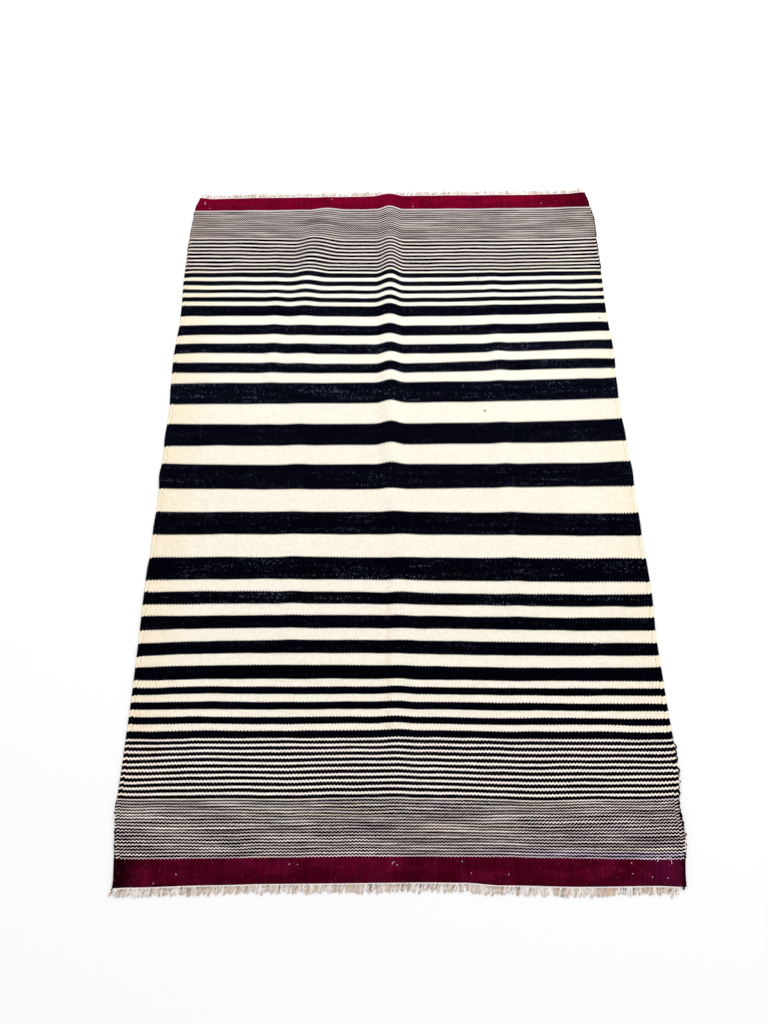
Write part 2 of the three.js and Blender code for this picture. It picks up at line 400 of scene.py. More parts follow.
RIPPLES = table(
    "height wave_x wave_y phase",
    (0.22, 173, 610, 0.4),
    (0.18, 97, -420, 2.1),
    (0.14, 61, 290, 4),
)


def lift(x, along):
    """The height of the underside above the floor: the creases and a slight unevenness."""
    height = np.zeros_like(x)
    for rows in CREASES:
        offset = x - between(rows, "across", along)
        spread = np.where(offset < 0, *(between(rows, side, along) for side in ("left", "right")))
        height += between(rows, "rise", along) * bump(offset, spread)
    for size, wave_x, wave_y, phase in zip(*RIPPLES.values()):
        height += size * (1 + np.sin(2 * math.pi * (x / wave_x + along / wave_y) + phase))
    return height


def underside(across, along, inset=0.0):
    """Points of the underside, with the first and the last of a row set in."""
    x, y, solid_along = cloth_place(across, along)
    x[0] += inset
    x[-1] -= inset
    return x, y, lift(x, solid_along)


# The tables count from the near woven edge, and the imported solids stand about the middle
PANEL_LOW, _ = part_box("rug_panel")
SHIFT = np.array((PANEL_LOW.x / MM - SIDES["left"].min(), PANEL_LOW.y / MM - ENDS["near"].min(), 0))

CLOTH_MAP = "cloth"
YARN_MAP = "yarn"
BAKE_MAP = "OFBake"


class Shape:
    """Collects corners and faces, with one or more maps on the faces, and makes them into a piece."""

    def __init__(self, *maps):
        self.corners = []
        self.faces = []
        self.maps = {name: [] for name in maps}
        self.count = 0

    def add(self, corners, groups):
        """groups is a list of (faces, {map: places}): faces is an array with one row for each face."""
        self.corners.append(corners)
        for faces, places in groups:
            self.faces.append(faces + self.count)
            for name, kept in self.maps.items():
                kept.append(places[name].reshape(-1, 2))
        self.count += len(corners)

    def piece(self, name, material):
        """Makes the mesh, in metres, as a piece of the rug's one body."""
        mesh = bpy.data.meshes.new(name)
        corners = (np.concatenate(self.corners) + SHIFT) * MM
        mesh.from_pydata(corners, [], [face for faces in self.faces for face in faces.tolist()])
        mesh.materials.append(material)
        for map_name, kept in self.maps.items():
            layer = mesh.uv_layers.new(name=map_name)
            layer.data.foreach_set("uv", np.concatenate(kept).ravel().astype(np.float32))
        mesh.validate()
        mesh.shade_smooth()
        made = bpy.data.objects.new(name, mesh)
        bpy.context.scene.collection.objects.link(made)
        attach(made, "root")
        return made


def cells(grid):
    """The four corners of each cell of a stack of grids, in turn round the cell."""
    near, far = grid[:, :-1], grid[:, 1:]
    return np.stack([near[:, :, :-1], far[:, :, :-1], far[:, :, 1:], near[:, :, 1:]], axis=3)


def add_tubes(shape, paths, radii, sides, places, reference=(0, 0, 1)):
    """Adds closed tubes along paths[tube, step, xyz], with radii[tube, step] or [tube, 0].
    places gives the map's pair of values for each tube, step and side, with one more side than the
    tube has, or for all of them. reference is a direction that no path runs along."""
    count, steps, _ = paths.shape
    ahead = np.gradient(paths, axis=1)
    ahead /= np.linalg.norm(ahead, axis=2, keepdims=True)
    aside = np.cross(ahead, np.array(reference, float))
    aside /= np.linalg.norm(aside, axis=2, keepdims=True)
    over = np.cross(aside, ahead)
    angle = 2 * math.pi * np.arange(sides) / sides
    ring = aside[:, :, None] * np.cos(angle)[:, None] + over[:, :, None] * np.sin(angle)[:, None]
    corners = paths[:, :, None] + radii[:, :, None, None] * ring
    index = np.arange(count * steps * sides).reshape(count, steps, sides)
    closed = np.concatenate([index, index[:, :, :1]], axis=2)
    caps = np.concatenate([index[:, 0], index[:, -1, ::-1]])
    grid = np.broadcast_to(places, (count, steps, sides + 1, 2))
    on_caps = np.concatenate([grid[:, 0, :-1], grid[:, -1, -2::-1]])
    name = next(iter(shape.maps))
    groups = [(cells(closed).reshape(-1, 4), {name: cells(grid)}), (caps, {name: on_caps})]
    shape.add(corners.reshape(-1, 3), groups)


def pairs(first, second):
    """Two arrays as one whose last axis holds the pair."""
    return np.stack(np.broadcast_arrays(first, second), -1)


def grid_pairs(first, second):
    """A pair of values for each corner of a grid."""
    return np.stack(np.meshgrid(first, second), -1).reshape(-1, 2)


def stitched(first, second, first_at, second_at):
    """Triangles between two rows of corners that run the same way but needn't have the same number.
    first_at and second_at are how far along the rows their corners lie."""
    triangles, i, j = [], 0, 0
    while i < len(first) - 1 or j < len(second) - 1:
        if j == len(second) - 1 or (i < len(first) - 1 and first_at[i + 1] <= second_at[j + 1]):
            triangles.append((first[i], first[i + 1], second[j]))
            i += 1
        else:
            triangles.append((first[i], second[j + 1], second[j]))
            j += 1
    return np.array(triangles)


# How many picks the weft swings between one warp and the next
TEETH = table(
    "along picks",
    (132, 0.75),
    (137, 0.68),
    (370, 0.78),
    (450, 0.95),
    (540, 1.1),
    (850, 1.4),
    (1060, 1.5),
    (1190, 1.1),
)
RIB_ROUNDNESS = 0.8
EDGE_ROUNDING = 0.9
UNDER_INSET = 0.7
# How much of the baked picture's width the face takes, and how much of the rest the underside
TOP_SHARE = 0.94
UNDER_SHARE = 0.9
TURNED_OVER = [0, 3, 2, 1]


def rib_heights(ribs):
    """The height of the cloth's face over its underside: ribs with narrow valleys between them."""
    crest = np.where((ribs < 1) | (ribs > RIBS - 1), SELVEDGE_CREST, CREST_HEIGHT)
    heights = VALLEY_HEIGHT + (crest - VALLEY_HEIGHT) * np.abs(np.sin(math.pi * ribs)) ** RIB_ROUNDNESS
    heights[[0, -1]] = EDGE_HEIGHT
    return heights


def cloth_row(across, along, thickness, inset=0.0):
    """A row of corners across the cloth, that far above its underside and set in at both ends."""
    x, y, low = underside(across, along, inset)
    return np.stack([x, y, low + thickness], axis=1)


def rug_panel(material):
    """The woven cloth: one closed sheet with lengthwise ribs on its face, on the solid's creases."""
    ribs, across = rib_places()
    rows = row_places()
    rows = np.array([0, EDGE_ROUNDING, *rows[1:-1], PANEL_LENGTH - EDGE_ROUNDING, PANEL_LENGTH])
    heights = rib_heights(ribs)
    over = [cloth_row(across, along, heights) for along in rows]
    for end in (0, -1):
        over[end] = cloth_row(across, rows[end], np.minimum(heights, EDGE_HEIGHT))

    # The underside has fewer corners, because nothing shows there but the two edges
    kept_ribs, kept = ribs[::COLUMNS_PER_RIB], across[::COLUMNS_PER_RIB]
    under_rows = np.linspace(0, PANEL_LENGTH, UNDER_ROWS)
    under = [cloth_row(kept, along, 0.0, UNDER_INSET) for along in under_rows]
    top = np.arange(len(rows) * len(ribs)).reshape(len(rows), -1)
    low = np.arange(len(under_rows) * len(kept)).reshape(len(under_rows), -1) + top.size
    walls = [
        stitched(low[0], top[0], kept, across),
        stitched(top[-1], low[-1], across, kept),
        stitched(top[:, 0], low[:, 0], rows, under_rows),
        stitched(low[:, -1], top[:, -1], under_rows, rows),
    ]

    # One map counts ribs and picks for the weave. The other lays face and underside side by side.
    under_ribs = 1 - (1 - TOP_SHARE) * UNDER_SHARE * (1 - kept_ribs / RIBS)
    counts = [grid_pairs(ribs, picks_at(rows)), grid_pairs(kept_ribs, picks_at(under_rows))]
    spread = [
        grid_pairs(ribs / RIBS * TOP_SHARE, rows / PANEL_LENGTH),
        grid_pairs(under_ribs, under_rows / PANEL_LENGTH),
    ]
    counts, spread = np.concatenate(counts), np.concatenate(spread)
    shape = Shape(CLOTH_MAP, BAKE_MAP)
    face, below = (cells(index[None]).reshape(-1, 4) for index in (top, low))
    groups = [
        (faces, {CLOTH_MAP: counts[faces], BAKE_MAP: spread[faces]})
        for faces in (face[:, TURNED_OVER], below, *walls)
    ]
    shape.add(np.concatenate(over + under), groups)
    return shape.piece("woven_cloth", material)


LOOP_RADIUS = 0.62
LOOP_WIDTHS = (0.9, 1.08)
LOOP_SCATTER = 0.12
LOOP_SIDES = 5
LOOP_SEED = 11
# The way of a weft loop round the selvedge: how far outside it, how high, and how far along
LOOP_WAY = table(
    "out height ahead",
    (-2.4, 2.35, -0.35),
    (-1.5, 2.55, -0.3),
    (-0.5, 2.25, -0.15),
    (0, 1.45, 0),
    (-0.4, 0.85, 0.15),
    (-1.5, 0.75, 0.3),
)


def selvedge(name, side, material):
    """The weft's turns round the outermost rib, one for each float.
    side is -1 on the left and 1 on the right."""
    picks = np.arange(1, MARK_PICKS[-1], PICKS_PER_FLOAT)
    along = np.interp(picks, MARK_PICKS, MARKS)
    rng = np.random.default_rng(LOOP_SEED + side)
    x, y, low = underside(side, along)
    out = x[:, None] + side * (LOOP_WAY["out"] + rng.normal(0, LOOP_SCATTER, (len(along), 1)))
    ahead = y[:, None] + LOOP_WAY["ahead"] * side
    paths = np.stack([out, ahead, low[:, None] + LOOP_WAY["height"]], axis=2)
    radii = LOOP_RADIUS * rng.uniform(*LOOP_WIDTHS, (len(along), 1))
    rib = 0.5 if side < 0 else RIBS - 0.5
    swing = np.sin(math.pi * rib) * between(TEETH, "picks", along)
    places = pairs(rib, picks - swing)[:, None, None]
    shape = Shape(CLOTH_MAP)
    add_tubes(shape, paths, radii, LOOP_SIDES, places, reference=(0, 1, 0))
    made = shape.piece(name, material)
    return made


# Carried yarns: their width, their height half way and how far they drop at both ends
CARRIED_RADIUS = 1.2
CARRIED_WIDTHS = (0.7, 1.2)
CARRIED_HEIGHT = 2.5
CARRIED_DROP = 0.9
CARRIED_SINK = 1.0
CARRIED_BULGES = (0.5, 1.2)
CARRIED_STEPS = 7
CARRIED_SIDES = 6
CARRIED_SEED = 23
# Which runs have yarns carried along which selvedge, how often, and how far they stand out
CARRIED = table(
    "run side dark_share pale_share bulge",
    (0, 1, 0.25, 0.95, 2.6),
    (1, 1, 0.95, 0.1, 3.2),
    (2, 1, 0.9, 0.3, 1.7),
    (3, 1, 0.7, 0.9, 2),
    (0, -1, 0.1, 0.45, 1.3),
    (2, -1, 0.3, 0.2, 1.5),
    (3, -1, 0.5, 0.5, 1.5),
)


def carried_yarns(material):
    """Yarns that pass along a selvedge from one fine line to the next one of their colour."""
    rng = np.random.default_rng(CARRIED_SEED)
    shape = Shape(CLOTH_MAP)
    t = np.linspace(0, 1, CARRIED_STEPS)
    for run, side, dark_share, pale_share, reach in zip(*CARRIED.values()):
        start, _, lines, picks, dark_from, dark_to, _ = (column[int(run)] for column in RUNS.values())
        rib = RIBS / 2 * (1 + side) - side * (EDGE_RIBS + 0.5)
        pale_middle = (dark_to + 1 + dark_from) / 2 % 1
        for middle, share in (((dark_from + dark_to) / 2, dark_share), (pale_middle, pale_share)):
            line = np.arange(int(lines) - 1)
            line = line[rng.uniform(0, 1, len(line)) < share]
            pick = picks_at(start) + (line + middle) * picks
            along = np.interp(pick[:, None] + t * picks, MARK_PICKS, MARKS)
            x, y, low = underside(side, along)
            bulge = reach * rng.uniform(*CARRIED_BULGES, (len(line), 1)) * np.sin(math.pi * t)
            height = CARRIED_HEIGHT - CARRIED_DROP * (2 * t - 1) ** 2
            paths = np.stack([x + side * (bulge - CARRIED_SINK), y, low + height], axis=2)
            radii = CARRIED_RADIUS * rng.uniform(*CARRIED_WIDTHS, (len(line), 1))
            add_tubes(shape, paths, radii, CARRIED_SIDES, pairs(rib, pick)[:, None, None])
    made = shape.piece("carried_yarns", material)
    return made


LOOSE_RADIUS = 0.3
LOOSE_HEIGHT = 3.25
LOOSE_CURL = 0.15
LOOSE_STEPS = 6
LOOSE_SIDES = 5
LOOSE_SEED = 31
# The number and the place in the yarn map that give plain pale yarn
PALE_YARN = (-1, 0)
# Loose wool on the maroon bands: its place, its length and the turn of its way in degrees
LOOSE_WOOL = table(
    "x along length turn",
    (396.1, 31.3, 2.6, 80),
    (395.6, 15.1, 2.3, 20),
    (429.1, 9.5, 2.6, 60),
    (454.9, 7.9, 2.3, 150),
    (465.1, 33, 7, 90),
    (440.7, 36, 7, 90),
    (453, 40.5, 24, 2),
    (-382.2, 16.9, 2.3, 120),
    (-418.8, 3.3, 2.3, 40),
    (-190, 32, 2.6, 60),
    (-176, 31.5, 2, 140),
    (-12, 33, 6, 40),
    (-5, 30, 2.6, 130),
    (106.4, 34.9, 2.6, 95),
    (120.9, 17, 2.3, 30),
    (184.5, 14.5, 2.3, 70),
    (-490, 1553.5, 2.6, 100),
    (-472.3, 1546.7, 9, 80),
    (-459, 1529.9, 2.6, 20),
    (-152.7, 1557.4, 3.2, 60),
    (51.1, 1534.7, 3.2, 110),
    (374.7, 1543.6, 2.6, 40),
)


def loose_wool(material):
    """Short pale ends and lint that lie on the maroon bands."""
    rng = np.random.default_rng(LOOSE_SEED)
    shape = Shape(YARN_MAP)
    x, along, length, turn = (column[:, None] for column in LOOSE_WOOL.values())
    way = np.radians(turn)
    t = np.linspace(-0.5, 0.5, LOOSE_STEPS)
    curl = rng.uniform(-LOOSE_CURL, LOOSE_CURL, x.shape) * length * (1 - 4 * t * t)
    path_x = x + length * t * np.cos(way) - curl * np.sin(way)
    path_y = along + length * t * np.sin(way) + curl * np.cos(way)
    paths = np.stack([path_x, path_y, LOOSE_HEIGHT + lift(path_x, path_y)], axis=2)
    add_tubes(shape, paths, np.full(x.shape, LOOSE_RADIUS), LOOSE_SIDES, PALE_YARN)
    made = shape.piece("loose_wool", material)
    return made


NUB_RADIUS = 1.6
NUB_CLEARANCE = 0.2
NUB_TAPER = 0.35
NUB_STEPS = 5
NUB_SIDES = 7
# The rib and the pick whose wool they show
NUB_WOOL = (3, 4)
# The dark ends of the selvedge cords at the near corners: where each starts and ends
NUBS = table(
    "x along end_x end_along",
    (-486, -2, -489.5, -7.5),
    (481.5, -3, 479, -10.5),
)


def corner_nubs(material):
    """The two selvedge cords' ends, which stick out past the near corners."""
    shape = Shape(CLOTH_MAP)
    t = np.linspace(0, 1, NUB_STEPS)
    x, along, end_x, end_along = (column[:, None] for column in NUBS.values())
    x = x + (end_x - x) * t
    height = np.full(x.shape, NUB_RADIUS + NUB_CLEARANCE)
    paths = np.stack([x, along + (end_along - along) * t, height], axis=2)
    radii = NUB_RADIUS * np.broadcast_to(1 - NUB_TAPER * t ** 3, x.shape)
    add_tubes(shape, paths, radii, NUB_SIDES, NUB_WOOL)
    made = shape.piece("corner_nubs", material)
    return made


# The solids' own way to the same numbers each time
CHANCE_PER_STRAND = 12.9898
CHANCE_PER_MEASURE = 78.233
CHANCE_SCALE = 43758.5453
LENGTH_MEASURE = 1
LEAN_MEASURE = 2


def chance(index, measure):
    """A number from 0 to 1, the same each time for one strand and one of its measures."""
    wave = np.sin(index * CHANCE_PER_STRAND + measure * CHANCE_PER_MEASURE) * CHANCE_SCALE
    return wave - np.floor(wave)


# The fringes, with the same driving sizes as their solids
STRANDS_PER_END = 145
PANEL_TO_HEADING = 0.3
HEADING_DEPTH = 2.4
HEADING_MIDDLE = PANEL_TO_HEADING + HEADING_DEPTH / 2
TIP_WIDTH = 2.6
TIP_CLEARANCE = 0.8
LEAN_WAVE = 0.27
LEAN_WAVE_SHARE = 0.6
# Which way is out, how long the strands are, how far they lean to the right and how unevenly, how
# far from the corners they stop, and how far the extra strand at the left corner leans, if any
LIE = {
    "near": dict(out=-1, shortest=8, longest=13, lean=-2.6, scatter=2.2, inset=12, corner=-6.5),
    "far": dict(out=1, shortest=8, longest=14, lean=1.2, scatter=2.4, inset=6, corner=0),
}

# The twined heading
TWINE_TURN = 6.3
TWINE_STEPS = 12
TWINE_SIDES = 6
TWINE_OFFSET = 0.55
TWINE_RADIUS = 0.63
TWINE_HEIGHT = 1.3
TWINE_WAVER = 0.12
TWINE_WAVES = (0.9, 0.37)
TWINE_NUMBERS = (-2, -1)

# The yarns of the fringe, which part, bend and come down to the floor past the heading
YARNS_PER_STRAND = 3
YARN_SPACING = 2.05
TIP_SPACING = 1.5
TIP_SCATTER = 0.5
# How far the yarns reach past the solid's strands
YARN_PAST_STRAND = 0.8
REACH_SCATTER = 0.9
BEND_SCATTER = 1.1
SWEEP_POWER = 1.3
FALL_SHARE = 0.45
RISE_BETWEEN = 0.5

# The two plies of each yarn
PLY_RADIUS = 0.62
PLY_WIDTHS = (0.85, 1.12)
PLY_TAPER = 0.35
PLY_OFFSET = 0.5
PLY_PARTINGS = (0.1, 0.5)
PLY_FLATNESS = 0.7
PLY_REST_SHARE = 0.6
PLY_TURNS = 1.4
PLY_STEPS = 9
PLY_SIDES = 5
MIDDLE_YARN_NUMBER = 4
YARN_NUMBERS_PER_STRAND = 8

# Loose fibres that stand off the yarns
FIBRES_PER_YARN = 2
FIBRE_RADIUS = 0.1
FIBRE_TAPER = 0.6
FIBRE_FIRST_STEP = 4
FIBRE_ASIDE = 1.8
FIBRE_AHEAD = (1, 4.5)
FIBRE_RISE = (0, 0.8)
FIBRE_CURL = 0.8
FIBRE_STEPS = 4
FIBRE_SIDES = 3
FLOOR_CLEARANCE = 0.1
EDGE_POINTS = 400


def heading_line(edge, x, out):
    """How far along and how high the heading's middle is at places across, beside a woven end."""
    edge_x, edge_y, low = edge
    return np.interp(x, edge_x, edge_y) + out * HEADING_MIDDLE, np.interp(x, edge_x, low) + TWINE_HEIGHT


def strand_tips(lie, first, pitch):
    """Where each strand of the solid starts and ends across the rug, and its length."""
    index = np.arange(STRANDS_PER_END)
    length = lie["shortest"] + (lie["longest"] - lie["shortest"]) * chance(index, LENGTH_MEASURE)
    wave = lie["lean"] * LEAN_WAVE_SHARE * np.sin(index * LEAN_WAVE)
    lean = lie["lean"] + wave + lie["scatter"] * (2 * chance(index, LEAN_MEASURE) - 1)
    root = first + (index + 0.5) * pitch
    tips, clear_of = [], -math.inf
    for wished in root + lean:
        tips.append(max(wished, clear_of + TIP_CLEARANCE + TIP_WIDTH / 2))
        clear_of = tips[-1] + TIP_WIDTH / 2
    if lie["corner"]:
        # One more strand, finer than the solid's, leans out past the left corner
        root = np.insert(root, 0, first - pitch / 2)
        tips.insert(0, root[0] + lie["corner"])
        length = np.insert(length, 0, lie["shortest"])
    return root, np.array(tips), length


def twined_heading(shape, edge, first, last, out):
    """Two strands twisted round each other along the woven end."""
    turns = (last - first) / TWINE_TURN
    share = np.linspace(0, 1, int(turns * TWINE_STEPS))
    x = first + (last - first) * share
    y, z = heading_line(edge, x, out)
    wave, slow_wave = TWINE_WAVES
    waver = 1 + TWINE_WAVER * np.sin(x * wave) * np.sin(x * slow_wave + 1)
    angles = [2 * math.pi * turns * share + start for start in (0, math.pi)]
    paths = [
        np.stack([x, y + np.cos(angle) * TWINE_OFFSET, z + np.sin(angle) * TWINE_OFFSET], 1)
        for angle in angles
    ]
    radii = np.tile(TWINE_RADIUS * waver, (2, 1))
    places = pairs(np.array(TWINE_NUMBERS)[:, None], x - first)[:, :, None]
    add_tubes(shape, np.array(paths), radii, TWINE_SIDES, places)


def warp_ends(shape, edge, tips, out, rng):
    """The cut warp yarns of each strand of the solid, each of two plies that part towards their ends."""
    root, tip, length = tips
    yarn = np.repeat(np.arange(len(root)), YARNS_PER_STRAND)
    hand = np.tile(np.arange(YARNS_PER_STRAND) - (YARNS_PER_STRAND - 1) / 2, len(root))
    count = len(yarn)
    t = np.linspace(0, 1, PLY_STEPS)
    start_x = root[yarn] + hand * YARN_SPACING
    end_x = tip[yarn] + hand * TIP_SPACING + rng.normal(0, TIP_SCATTER, count)
    reach = length[yarn] + YARN_PAST_STRAND + rng.normal(0, REACH_SCATTER, count)
    start_y, start_z = (given[:, None] for given in heading_line(edge, start_x, out))
    bend = rng.normal(0, BEND_SCATTER, count)[:, None] * np.sin(math.pi * t)
    x = start_x[:, None] + (end_x - start_x)[:, None] * t ** SWEEP_POWER + bend
    y = start_y + out * (HEADING_DEPTH / 2 + reach)[:, None] * t
    rest = PLY_RADIUS + PLY_OFFSET * PLY_REST_SHARE
    raised = rng.uniform(0, RISE_BETWEEN, count)[:, None] * np.sin(math.pi * t)
    z = start_z + (rest - start_z) * eased(np.clip(t / FALL_SHARE, 0, 1)) + raised
    middle = np.stack([x, y, z], axis=2)
    apart = PLY_OFFSET + rng.uniform(*PLY_PARTINGS, count)[:, None] * t ** 3
    turn = 2 * math.pi * (PLY_TURNS * t + rng.uniform(0, 1, count)[:, None])
    number = yarn * YARN_NUMBERS_PER_STRAND + hand * 2 + MIDDLE_YARN_NUMBER
    for ply, start in enumerate((0, math.pi)):
        aside, up = np.cos(turn + start) * apart, np.sin(turn + start) * apart * PLY_FLATNESS
        path = middle + np.stack([aside, 0 * turn, up], 2)
        radii = PLY_RADIUS * (1 - PLY_TAPER * t ** 4) * rng.uniform(*PLY_WIDTHS, (count, 1))
        path[:, :, 2] = np.maximum(path[:, :, 2], radii + FLOOR_CLEARANCE)
        places = pairs((number + ply)[:, None], t * reach[:, None])[:, :, None]
        add_tubes(shape, path, radii, PLY_SIDES, places)
    return middle


def frayed_fibres(shape, middle, out, rng):
    """Loose fibres that stand off the cut yarns."""
    count = len(middle)
    t = np.linspace(0, 1, FIBRE_STEPS)[:, None]
    radii = np.tile(FIBRE_RADIUS * (1 - FIBRE_TAPER * t[:, 0]), (count, 1))
    places = pairs(np.arange(count), 0)[:, None, None]
    for _ in range(FIBRES_PER_YARN):
        from_step = rng.integers(FIBRE_FIRST_STEP, PLY_STEPS - 1, count)
        start = middle[np.arange(count), from_step]
        aside = rng.normal(0, FIBRE_ASIDE, count)
        ahead = out * rng.uniform(*FIBRE_AHEAD, count)
        way = np.stack([aside, ahead, rng.uniform(*FIBRE_RISE, count)], 1)
        curl = rng.normal(0, FIBRE_CURL, (count, 1, 1)) * np.sin(math.pi * t) * np.array((1, 0, 0))
        path = start[:, None] + way[:, None] * t + curl
        path[:, :, 2] = np.maximum(path[:, :, 2], FIBRE_RADIUS + FLOOR_CLEARANCE)
        add_tubes(shape, path, radii, FIBRE_SIDES, places)


def fringe(end, material, seed):
    """The heading and the cut warp ends beyond one woven end."""
    lie = LIE[end]
    out = lie["out"]
    rng = np.random.default_rng(seed)
    edge = underside(np.linspace(-1, 1, EDGE_POINTS), 0.0 if out < 0 else PANEL_LENGTH)
    first = edge[0][0] + lie["inset"] / 2
    last = edge[0][-1] - lie["inset"]
    shape = Shape(YARN_MAP)
    twined_heading(shape, edge, first + lie["corner"], last, out)
    tips = strand_tips(lie, first, (last - first) / STRANDS_PER_END)
    middle = warp_ends(shape, edge, tips, out, rng)
    frayed_fibres(shape, middle, out, rng)
    made = shape.piece("warp_ends_" + end, material)
    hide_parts("fringe_" + end)
    return made


def linear(red, green, blue):
    """A colour as light values, from the numbers 0 to 255 of a screen colour."""
    shares = (value / 255 for value in (red, green, blue))
    return tuple(s / 12.92 if s <= 0.04045 else ((s + 0.055) / 1.055) ** 2.4 for s in shares) + (1,)


class Finish:
    """A material whose nodes are written as sums."""

    def __init__(self, name):
        self.material = bpy.data.materials.new(name)
        self.material.use_nodes = True
        self.tree = self.material.node_tree
        self.tree.nodes.clear()

    def node(self, kind, *values, **settings):
        """A node with its settings, and with values on its first sockets."""
        made = self.tree.nodes.new("ShaderNode" + kind)
        for name, value in settings.items():
            setattr(made, name, value)
        for socket, value in zip(made.inputs, values):
            self.feed(socket, value)
        return made

    def feed(self, socket, value):
        if isinstance(value, bpy.types.NodeSocket):
            self.tree.links.new(value, socket)
        elif isinstance(value, tuple):
            socket.default_value = value
        else:
            socket.default_value = float(value)

    def work(self, operation, *values):
        return self.node("Math", *values, operation=operation).outputs[0]

    def plus(self, first, *others):
        for other in others:
            first = self.work("ADD", first, other)
        return first

    def times(self, first, *others):
        for other in others:
            first = self.work("MULTIPLY", first, other)
        return first

    def minus(self, first, second):
        return self.work("SUBTRACT", first, second)

    def over(self, first, second):
        return self.work("DIVIDE", first, second)

    def held(self, value):
        """The value, kept from 0 to 1."""
        return self.node("Clamp", value).outputs[0]

    def vector(self, *values):
        return self.node("CombineXYZ", *values).outputs[0]

    def map(self, name):
        """The two numbers of a map."""
        made = self.node("SeparateXYZ", self.node("UVMap", uv_map=name).outputs[0])
        return made.outputs[0], made.outputs[1]

    def chance(self, *values):
        """A random number from 0 to 1 for each cell."""
        return self.node("TexWhiteNoise", self.vector(*values), noise_dimensions="3D").outputs["Value"]

    def noise(self, *values, detail=2):
        """A number from 0 to 1 that changes slowly from place to place."""
        made = self.node("TexNoise", self.vector(*values), noise_dimensions="3D")
        made.inputs["Scale"].default_value = 1
        made.inputs["Detail"].default_value = detail
        return made.outputs["Fac"]

    def uneven(self, name, warp, row):
        """One kind of slow unevenness over the cloth."""
        across, along, detail = UNEVEN[name]
        kind = float(list(UNEVEN).index(name))
        place = (self.times(warp, across), self.times(row, along), kind * KINDS_APART)
        return self.noise(*place, detail=detail)

    def tinted(self, colour, tone):
        """The colour times a tone."""
        return self.mix(1.0, colour, self.vector(tone, tone, tone), blend="MULTIPLY")

    def ramp(self, value, low, high, to_low=0.0, to_high=1.0):
        """The value's way from low to high, held at both ends and turned into another range."""
        given = (value, low, high, to_low, to_high)
        return self.node("MapRange", *given, interpolation_type="SMOOTHSTEP").outputs[0]

    def stepped(self, value, places, heights):
        """The height a short table gives at the value, easing from each row to the next."""
        height = heights[0]
        for i in range(1, len(places)):
            step = self.ramp(value, places[i - 1], places[i], 0.0, heights[i] - heights[i - 1])
            height = self.plus(height, step)
        return height

    def mix(self, share, first, second, blend="MIX"):
        made = self.node("Mix", data_type="RGBA", blend_type=blend)
        for socket, value in ((0, share), (6, first), (7, second)):
            self.feed(made.inputs[socket], value)
        return made.outputs[2]

    def layered(self, colour, *layers):
        """The colour under others, each of which comes in as its value goes from low to high."""
        for value, low, high, share, over in layers:
            colour = self.mix(self.ramp(value, low, high, 0.0, share), colour, over)
        return colour

    def within(self, value, start, end):
        """1 where the value lies from start to end, and 0 elsewhere."""
        return self.work("COMPARE", value, (start + end) / 2, (end - start) / 2)

    def close(self, colour, height, depth, **settings):
        """The surface: its colour, its relief and the shader's own numbers."""
        shader = self.node("BsdfPrincipled", colour)
        for name, value in settings.items():
            shader.inputs[name.replace("_", " ")].default_value = value
        relief = self.node("Bump")
        relief.inputs["Distance"].default_value = depth
        relief.inputs["Strength"].default_value = 1.0
        self.feed(relief.inputs["Height"], height)
        self.feed(shader.inputs["Normal"], relief.outputs[0])
        self.node("OutputMaterial", shader.outputs[0])
        return self.material


# Colours of the wool, as screen colours of its matt surface
CREAM = linear(241, 234, 220)
CREAM_SHADE = linear(233, 223, 203)
CREAM_SIDE = linear(237, 223, 195)
CREAM_CREASE_SHADE = linear(226, 206, 176)
CREAM_FAR_LIT = linear(242, 238, 227)
CREAM_PINK = linear(249, 236, 231)
CREAM_LILAC = linear(218, 202, 206)
CREAM_EDGE = linear(222, 208, 232)
CREAM_YELLOW = linear(250, 241, 215)
CREAM_GREY = linear(202, 188, 184)
SELVEDGE_GROOVE_SHADE = linear(176, 150, 112)
NAVY = linear(2, 2, 7)
NAVY_FAR_SHEEN = linear(4, 5, 14)
NAVY_FLECK = linear(86, 92, 114)
NAVY_PURPLE = linear(8, 3, 9)
NAVY_GREY = linear(48, 42, 48)
MAROON_FAR_SHEEN = linear(98, 4, 32)
MAROON_BRIGHT = linear(116, 4, 36)
MAROON_NEAR = linear(68, 3, 23)
MAROON_ROSE = linear(90, 8, 38)
MAROON_PURPLE = linear(78, 10, 40)
MAROON_DARK = linear(22, 4, 7)
MAROON_SPECK = linear(150, 60, 92)
STAIN = linear(120, 104, 84)

# Slow unevenness of the wool: how fast each kind changes across the warps and along the picks
UNEVEN = {
    "sway": (0.035, 0.03, 3),
    "line": (0.025, 0.28, 3),
    "hue": (0.012, 0.55, 1),
    "streak": (0.07, 0.42, 3),
    "patch": (0.05, 0.06, 3),
    "cluster": (0.025, 0.06, 2),
    "rows": (0.02, 3.7, 1),
    "ply": (6, 3, 2),
}
KINDS_APART = 5
# The last number of each kind of random cell, and both numbers of those that go by rib or by yarn
TONE_CELLS = 0
BLOCK_CELLS = 3
FLECK_CELLS = 5
JITTER_CELLS = 8
SPECK_CELLS = 9
RAGGED_RIBS = (3, 1)
STREAKED_RIBS = (6, 2)
BEIGE_STRANDS = (2, 5)
DARK_AND_SHADOWED_PLIES = (7, 1)

SWAY_PICKS = 3.2
JITTER_PICKS = 0.25
# How far the dark wool spreads over the cream beside it
DARK_SPREAD = 0.4
# Along the selvedges the stripes' edges are drawn forward or back, in blocks of so many picks
BLOCK_PICKS = 20
BLOCK_REACH = 1.8

# Small marks on the cream: the place and reach of each, in millimetres
STAINS = table(
    "x along reach",
    (200, 934, 5),
    (381, 419, 4),
    (484, 1179, 4),
    (203, 1304, 4),
)


